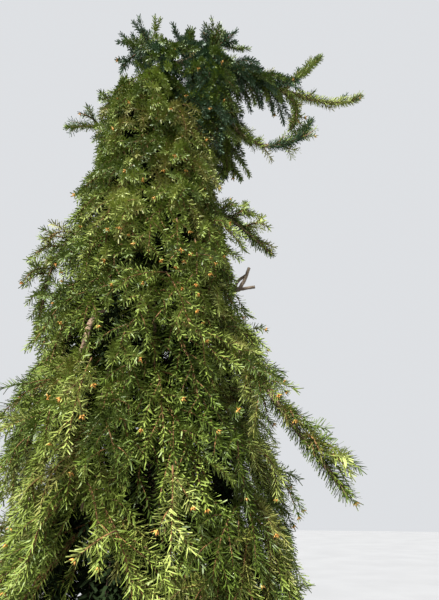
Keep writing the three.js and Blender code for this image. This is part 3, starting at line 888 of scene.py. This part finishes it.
def place_on(root, middle, tip, share):
    """Points and directions at a share of each bend."""
    share = share[:, None]
    first = root + (middle - root) * share
    second = middle + (tip - middle) * share
    return first + (second - first) * share, unit(second - first)


def faces_of_all(faces, point_count, count):
    """The faces of one thing, repeated for a number of them, each with its own points."""
    firsts = point_count * np.arange(count)
    return (np.array(faces)[None] + firsts[:, None, None]).reshape(-1, 3)


def wall_corners(sides, rings):
    """Each part of a tube's wall: two neighbours on one ring of points, and the two after them."""
    for i in range(rings):
        for k in range(sides):
            a, b = i * sides + k, i * sides + (k + 1) % sides
            yield a, b, a + sides, b + sides


def tube_mesh(root, middle, tip, face, root_radius, tip_radius, sides, rings):
    """Tapering tubes along bends, each closed at the root and drawn to a point at the tip."""
    count = len(root)
    shares = np.linspace(0, 1, rings + 1)
    angles = np.arange(sides) * math.tau / sides
    per_tube = sides * rings + 1
    vertices = np.empty((count, per_tube, 3))
    for i in range(rings):
        centre, ahead = place_on(root, middle, tip, np.full(count, shares[i]))
        side = unit(np.cross(ahead, face))
        lift = np.cross(side, ahead)
        radius = lerp(root_radius, tip_radius, shares[i])
        for k, angle in enumerate(angles):
            arm = side * math.cos(angle) + lift * math.sin(angle)
            vertices[:, i * sides + k] = centre + radius * arm
    vertices[:, -1] = tip
    faces = []
    for a, b, c, d in wall_corners(sides, rings - 1):
        faces += [(a, b, c), (b, d, c)]
    last = (rings - 1) * sides
    faces += [(last + k, last + (k + 1) % sides, rings * sides) for k in range(sides)]
    faces += [(0, k + 1, k) for k in range(1, sides - 1)]
    return vertices.reshape(-1, 3), faces_of_all(faces, per_tube, count)


def seat_needles(bends, rng, spacing, span):
    """Needles stand round each shoot, parted at its back. Each has its shoot's number, its share along it,
    its root, and the directions ahead and off."""
    root, middle, tip, face = rows_of(bends)
    lengths = np.linalg.norm(tip - root, axis=1)
    girths = np.array([bend.girth for bend in bends])
    counts = np.round(lengths / spacing * girths / SHOOT_RADIUS).astype(int)
    shoot = np.repeat(np.arange(len(bends)), counts)
    order = np.arange(len(shoot)) - np.repeat(np.cumsum(counts) - counts, counts)
    share = (order + rng.random(len(shoot))) / counts[shoot]
    centre, ahead = place_on(root[shoot], middle[shoot], tip[shoot], share)
    side = unit(np.cross(ahead, face[shoot]))
    lift = np.cross(side, ahead)
    spans = np.where(girths == SHOOT_RADIUS, span, 1)
    azimuth = ((order * GOLDEN_TURN) % math.tau - math.pi) * spans[shoot]
    azimuth += rng.normal(0, 0.2, len(shoot))
    radial = lift * np.cos(azimuth)[:, None] + side * np.sin(azimuth)[:, None]
    return shoot, share, centre + radial * girths[shoot, None] * 0.8, ahead, radial


def needle_mesh(bends, rng, needle_length, root_width, tip_width, spacing, span):
    """Needles swept towards the tips of their shoots. Each is a narrow folded blade of two faces."""
    shoot, share, start, ahead, radial = seat_needles(bends, rng, spacing, span)
    is_end = np.array([bend.is_end for bend in bends], dtype=float)[shoot]
    sweep = lerp(NEEDLE_ROOT_ANGLE, NEEDLE_TIP_ANGLE, is_end * share**4)
    sweep = np.radians(sweep + rng.normal(0, NEEDLE_ANGLE_SPREAD, len(shoot)))
    heading = ahead * np.cos(sweep)[:, None] + radial * np.sin(sweep)[:, None]
    length = needle_length * (1 - NEEDLE_TIP_LOSS * is_end * share**3)
    length = length * rng.uniform(*NEEDLE_VARIATION, len(shoot))
    flat = unit(np.cross(heading, radial))
    normal = np.cross(flat, heading)
    roll = rng.normal(0, NEEDLE_ROLL, len(shoot))
    flat = flat * np.cos(roll)[:, None] + normal * np.sin(roll)[:, None]
    normal = np.cross(flat, heading)
    end = start + heading * length[:, None]
    half_root = flat * root_width / 2
    half_tip = flat * tip_width / 2
    fold = normal * root_width * NEEDLE_FOLD
    corners = [start - half_root, start + half_root + fold, end + half_tip, end - half_tip + fold]
    vertices = np.stack(corners, 1).reshape(-1, 3)
    greens = np.array([bend.green for bend in bends])[shoot]
    faces = faces_of_all(NEEDLE_FACES, len(corners), len(shoot))
    return vertices, faces, np.repeat(greens, len(NEEDLE_FACES))


def is_outermost(bend):
    level = bend.tip - trunk_middle(bend.tip.z)
    far = math.hypot(level.x, level.y) > BUD_DEPTH * column_radius(bend.tip.z)
    return bend.is_end and (far or bend.tip.z > TRUNK_TOP)


def bud_share(bend):
    if bend.card == PROUD_CARD:
        return PROUD_BUD_SHARE
    return HIGH_BUD_SHARE if bend.tip.z > BUD_LINE else BUD_SHARE


def bud_corners(tip, ahead, heading, face, length):
    """A pointed bud at each tip: its root, three corners round its belly, and its point."""
    flat = unit(np.cross(heading, face + 0.3 * ahead))
    deep = np.cross(flat, heading)
    belly = tip + heading * length * 0.4
    ring = [
        belly + BUD_RADIUS * (flat * math.cos(angle) + deep * math.sin(angle))
        for angle in (0, math.tau / 3, 2 * math.tau / 3)
    ]
    return np.stack([tip - ahead, *ring, tip + heading * length], 1)


def bud_mesh(bends, rng):
    """Stars of small buds at the tips of some of the shoots that reach the tree's outside."""
    chosen = [bend for bend in bends if is_outermost(bend) and rng.random() < bud_share(bend)]
    root, middle, tip, face = rows_of(chosen)
    count = len(chosen)
    _, ahead = place_on(root, middle, tip, np.ones(count))
    side = unit(np.cross(ahead, face))
    lift = np.cross(side, ahead)
    buds = []
    for k in range(BUDS_IN_A_STAR):
        spread = 0 if k == 0 else BUD_SPREAD
        angle = math.tau * k / (BUDS_IN_A_STAR - 1) + rng.normal(0, 0.4, count)
        arm = side * np.cos(angle)[:, None] + lift * np.sin(angle)[:, None]
        heading = unit(ahead * math.cos(spread) + arm * math.sin(spread))
        length = BUD_LENGTH * rng.uniform(*BUD_VARIATION, count)[:, None]
        buds.append(bud_corners(tip, ahead, heading, face, length))
    vertices = np.concatenate(buds)
    faces = faces_of_all(BUD_FACES, 5, len(vertices))
    return vertices.reshape(-1, 3), faces


# Bark-covered limbs


def bark_relief(point, scale):
    """Height of the bark's plates and cracks at a point, from about -1 to 1."""
    stretched = Vector((point.x, point.y, point.z * 0.45)) / scale
    nearest = noise.voronoi(stretched)[0]
    crack = min(1, (nearest[1] - nearest[0]) * 3)
    return crack - 0.6 + 0.5 * noise.noise(stretched * 2.7)


def limb_faces(sides, rings):
    """The wall of a limb and the fans over its ends, whose middles are its last two points."""
    faces = []
    for a, b, c, d in wall_corners(sides, rings):
        faces += [(a, c, b), (b, c, d)]
    last = rings * sides
    root, tip = last + sides, last + sides + 1
    faces += [(root, k, (k + 1) % sides) for k in range(sides)]
    faces += [(tip, last + (k + 1) % sides, last + k) for k in range(sides)]
    return np.array(faces)


def limb_mesh(middle_at, radius_at, sides, rings, relief, relief_scale):
    """A closed tube with bark relief. middle_at and radius_at take a share, and the latter an angle too."""
    step = 1e-3
    side = Vector((0, 1, 0))
    vertices = []
    for i in range(rings + 1):
        share = i / rings
        middle = middle_at(share)
        ahead = (middle_at(min(1, share + step)) - middle_at(max(0, share - step))).normalized()
        side = (side - ahead * side.dot(ahead)).normalized()
        lift = side.cross(ahead)
        for k in range(sides):
            angle = math.tau * k / sides
            arm = lift * math.cos(angle) + side * math.sin(angle)
            radius = radius_at(share, angle)
            rough = relief * bark_relief(middle + arm * radius, relief_scale)
            vertices.append(middle + arm * (radius + rough))
    vertices += [middle_at(0), middle_at(1)]
    return np.array(vertices), limb_faces(sides, rings)


def joined(meshes):
    """Several meshes as one."""
    starts = np.cumsum([0] + [len(vertices) for vertices, _ in meshes[:-1]])
    vertices = np.concatenate([vertices for vertices, _ in meshes])
    faces = np.concatenate([faces + start for (_, faces), start in zip(meshes, starts)])
    return vertices, faces


def trunk_mesh():
    def radius_at(share, angle):
        height = share * TRUNK_TOP
        lobe = LOBE_DEPTH * math.cos(ROOT_LOBES * angle) * math.exp(-height / FLARE_HEIGHT)
        return trunk_radius(height) * (1 + lobe)

    def middle_at(share):
        return trunk_middle(share * TRUNK_TOP)

    vertices, faces = limb_mesh(middle_at, radius_at, *TRUNK_TUBE, *TRUNK_RELIEF)
    vertices[:, 2] = np.maximum(vertices[:, 2], 0)
    return vertices, faces


def bough_mesh(route, root_radius, tip_radius, step=BOUGH_STEP):
    curve = Curve(route)
    rings = round(curve.length() / step)
    return limb_mesh(
        curve.point, lambda share, _: lerp(root_radius, tip_radius, share), BOUGH_SIDES, rings, *BOUGH_RELIEF
    )


def stem_mesh(stem):
    """The wood of a mass's stem, which ends where it meets a hollow."""
    shares = np.linspace(0, 1, 50)
    last = next((share for share in shares if is_in_hollow(stem.curve.point(share))), 1)
    return limb_mesh(
        lambda share: stem.curve.point(share * last),
        lambda share, _: lerp(STEM_ROOT_RADIUS, STEM_TIP_RADIUS, share), *STEM_TUBE, *STEM_RELIEF
    )


# Materials


def new_material(name, dark, light, noise_scale, roughness, bump=0.0, specular=0.4):
    """A rough surface whose colour drifts between two tones, with a little relief."""
    material = bpy.data.materials.new(name)
    material.use_nodes = True
    nodes = material.node_tree.nodes
    links = material.node_tree.links
    shader = nodes["Principled BSDF"]
    shader.inputs["Roughness"].default_value = roughness
    shader.inputs["Specular IOR Level"].default_value = specular
    coordinates = nodes.new("ShaderNodeTexCoord")
    pattern = nodes.new("ShaderNodeTexNoise")
    pattern.inputs["Scale"].default_value = noise_scale
    pattern.inputs["Detail"].default_value = 4
    links.new(coordinates.outputs["Object"], pattern.inputs["Vector"])
    ramp = nodes.new("ShaderNodeValToRGB")
    for element, place, tone in zip(ramp.color_ramp.elements, (0.35, 0.65), (dark, light)):
        element.position = place
        element.color = (*tone, 1)
    links.new(pattern.outputs["Fac"], ramp.inputs["Fac"])
    links.new(ramp.outputs["Color"], shader.inputs["Base Color"])
    if bump:
        relief = nodes.new("ShaderNodeBump")
        relief.inputs["Strength"].default_value = bump
        relief.inputs["Distance"].default_value = MM
        links.new(pattern.outputs["Fac"], relief.inputs["Height"])
        links.new(relief.outputs["Normal"], shader.inputs["Normal"])
    return material


def from_screen(levels):
    """A colour given in screen levels, from 0 to 255, as the shader's linear values."""
    return tuple(((level / 255 + 0.055) / 1.055) ** 2.4 for level in levels)


def screen_material(name, dark, light, *look):
    return new_material(name, from_screen(dark), from_screen(light), *look)


NEEDLE_GREENS = [
    ("needles_deep", (66, 82, 20), (84, 102, 30)),
    ("needles_mid", (100, 116, 40), (120, 134, 56)),
    ("needles_fresh", (124, 136, 58), (146, 154, 80)),
    # Painted shade: this blue-green, dealt only to the crest and head, stands for their shade under the sky
    ("needles_blue", (50, 72, 44), (64, 88, 58)),
    ("needles_olive", (106, 108, 44), (130, 130, 66)),
]
needle_materials = [screen_material(*green, 9, 0.54, 0, 0.45) for green in NEEDLE_GREENS]
# Painted shade: the coarse needles inside the column are near-black green, darker than the needles outside,
# for the shade there
painted_shade_needles = screen_material("needles_shaded", (22, 32, 12), (30, 42, 18), 9, 0.9, 0, 0.1)
# Painted shade: the old twigs inside the column keep a brown of their own, darkened for the shade there
painted_shade_wood = screen_material("wood_shaded", (40, 34, 28), (58, 48, 38), 40, 0.95, 0, 0.1)
dead_wood = screen_material("dead_wood", (92, 80, 68), (128, 114, 98), 40, 0.95, 0.4)
bark = screen_material("bark", (96, 78, 62), (142, 118, 94), 60, 0.92, 0.6)
young_bark = screen_material("young_bark", (88, 62, 36), (134, 96, 54), 50, 0.8)
bud_scales = screen_material("bud_scales", (190, 128, 52), (222, 172, 92), 80, 0.6)


# The tree


def zone_of(stem):
    return next(zone for zone, row in ZONES.items() if stem.name.startswith(tuple(row[0])))


def deal_greens(bends, green_shares):
    """Gives each shoot its green, so that the shoots of one twig have the same."""
    steps = np.cumsum(green_shares) / sum(green_shares)
    for bend in bends:
        bend.green = int(np.searchsorted(steps, bend.card, side="right"))


def grow_all():
    for stem in stems:
        draw = random_source(stem.seed)
        finer_draw = random_source(stem.seed + 20000)
        grow_sprays(stem, stem.sprays - 1, 1, draw, finer_draw)
        grow_end_spray(stem, finer_draw)
        if stem.frond_width:
            grow_frond(stem)
        finer = TIER_FINER_SPRAYS if stem.is_tier else FINER_SPRAYS
        grow_sprays(stem, finer, FINER_SPRAY_SHARE, finer_draw, finer_draw)
        girths = (STEM_ROOT_RADIUS, STEM_TIP_RADIUS)
        clothe_curve(stem.curve, stem.start * 0.5, 1, girths, stem, finer_draw())
    for row in CLOTHED_LIMBS:
        clothe_limb(*row)
    grow_proud_fronds()
    fill_column()


def make_zone(zone, seed):
    """The needles, twigs and buds of one zone."""
    _, needle_sizes, green_shares = ZONES[zone]
    rng = np.random.default_rng(seed)
    zone_stems = [stem for stem in stems if zone_of(stem) == zone]
    nodes = [f"foliage_{stem.name}" for stem in zone_stems]
    zone_shoots = [bend for bend in shoots if zone_of(bend.stem) == zone]
    zone_twigs = [bend for bend in twigs if zone_of(bend.stem) == zone]
    deal_greens(zone_shoots, green_shares)
    vertices, faces, greens = needle_mesh(zone_shoots, rng, *needle_sizes)
    needles = new_piece(f"needles_{zone}", vertices, faces, needle_materials, greens)
    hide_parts(*nodes)
    woods = [
        joined([stem_mesh(stem) for stem in zone_stems]),
        tube_mesh(*rows_of(zone_twigs), TWIG_ROOT_RADIUS, TWIG_TIP_RADIUS, *TWIG_TUBE),
        tube_mesh(*rows_of(zone_shoots), SHOOT_RADIUS, SHOOT_RADIUS * SHOOT_TAPER, *SHOOT_TUBE),
    ]
    kinds = np.concatenate([np.full(len(faces), i) for i, (_, faces) in enumerate(woods)])
    wood = new_piece(f"twigs_{zone}", *joined(woods), [bark, young_bark, young_bark], kinds)
    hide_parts(*nodes)
    buds = new_piece(f"buds_{zone}", *bud_mesh(zone_shoots, rng), [bud_scales])
    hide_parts(*nodes)


def inner_twig_places(rng):
    """Heights and turns of the inner twigs: evenly round the trunk, and then behind the first hollow."""
    places = [
        (lerp(*INNER_TWIG_HEIGHTS, (k + rng.random()) / INNER_TWIGS), k * GOLDEN_TURN)
        for k in range(INNER_TWIGS)
    ]
    heading, spread, lowest, highest, _ = HOLLOWS[0]
    for _ in range(HOLLOW_TWIGS):
        turn = math.radians(heading + 1.5 * spread * rng.uniform(-1, 1))
        places.append((rng.uniform(lowest, highest + 120), turn))
    return places


def inner_twig(height, turn, rng):
    """An old twig from the trunk: its woody part, a side twig, and its hanging end."""
    away = Vector((math.cos(turn), math.sin(turn), 0))
    axis = trunk_middle(height)
    root = axis + away * trunk_radius(height) * 0.9
    knee = axis + away * column_radius(height) * rng.uniform(*INNER_TWIG_SHARE)
    if is_in_hollow(knee):
        knee = axis + away * column_radius(height) * INNER_TWIG_SHARE[0]
    out = rng.uniform(-20, 30)
    drop = min(rng.uniform(*INNER_TWIG_DROP), height - 120)
    tip = knee + away * out - UP * drop
    twig = Bend(root, root.lerp(knee, 0.5) + UP * rng.uniform(0, 40), knee, UP)
    shoot = Bend(knee, knee.lerp(tip, 0.4) + away * 25, tip, away)
    start = twig.point(rng.uniform(*SIDE_TWIG_SHARE))
    across = away.cross(UP) * rng.choice([-1, 1]) * rng.uniform(0.3, 1)
    heading = across + away * 0.4 - UP * rng.uniform(0.2, 1)
    end = start + heading * rng.uniform(*SIDE_TWIG_LENGTH)
    side_twig = Bend(start, start.lerp(end, 0.5) + UP * 8, end, UP)
    return twig, side_twig, shoot


def make_inner_twigs():
    rng = np.random.default_rng(7)
    grown = [inner_twig(height, turn, rng) for height, turn in inner_twig_places(rng)]
    woody = [twig for *woods, _ in grown for twig in woods]
    needled = [shoot for *_, shoot in grown]
    wood = tube_mesh(*rows_of(woody + needled), INNER_TWIG_RADIUS, TWIG_TIP_RADIUS, *SHOOT_TUBE)
    new_piece("inner_twigs", *wood, [painted_shade_wood])
    vertices, faces, _ = needle_mesh(needled, rng, *INNER_NEEDLES)
    new_piece("inner_needles", vertices, faces, [painted_shade_needles])


def make_limbs():
    limbs = [("trunk", trunk_mesh(), bark, "bark")]
    for name, route, root_radius, tip_radius in LIMBS:
        limbs.append((name, bough_mesh(route, root_radius, tip_radius), bark, "bark"))
    prongs = joined([bough_mesh(*part, step=DEAD_LIMB_STEP) for part in DEAD_LIMB])
    limbs.append(("dead_limb", prongs, dead_wood, "dead_wood"))
    for name, mesh, material, slot in limbs:
        piece = new_piece(f"{name}_bark", *mesh, [material])
        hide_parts(name)


# Stage, light and camera


def make_stage():
    pale = new_material("floor", (0.25, 0.25, 0.25), (0.27, 0.27, 0.27), 0.8, 0.9)
    bpy.ops.mesh.primitive_circle_add(vertices=96, radius=40, fill_type="NGON")
    floor = bpy.context.object
    floor.name = "floor"
    floor.data.materials.append(pale)


def make_light():
    world = bpy.context.scene.world or bpy.data.worlds.new("studio")
    bpy.context.scene.world = world
    world.use_nodes = True
    sky = world.node_tree.nodes["Background"]
    sky.inputs["Color"].default_value = SKY_TONE
    sky.inputs["Strength"].default_value = SKY_STRENGTH
    bpy.context.scene.view_settings.view_transform = "Standard"
    key_data = bpy.data.lights.new("key", "SUN")
    key_data.energy = KEY_ENERGY
    key_data.angle = math.radians(KEY_SOFTNESS)
    new_object("key", key_data).rotation_euler = [math.radians(turn) for turn in KEY_TURN]


def make_camera():
    data = bpy.data.cameras.new("camera")
    data.lens = CAMERA_LENS
    camera = new_object("camera", data)
    camera.location = CAMERA_PLACE
    camera.rotation_euler = (math.radians(90 + CAMERA_PITCH), 0, 0)
    bpy.context.scene.camera = camera


make_camera()
make_light()
make_stage()
make_limbs()
grow_all()
for number, zone_name in enumerate(ZONES):
    make_zone(zone_name, 11 + number)
make_inner_twigs()
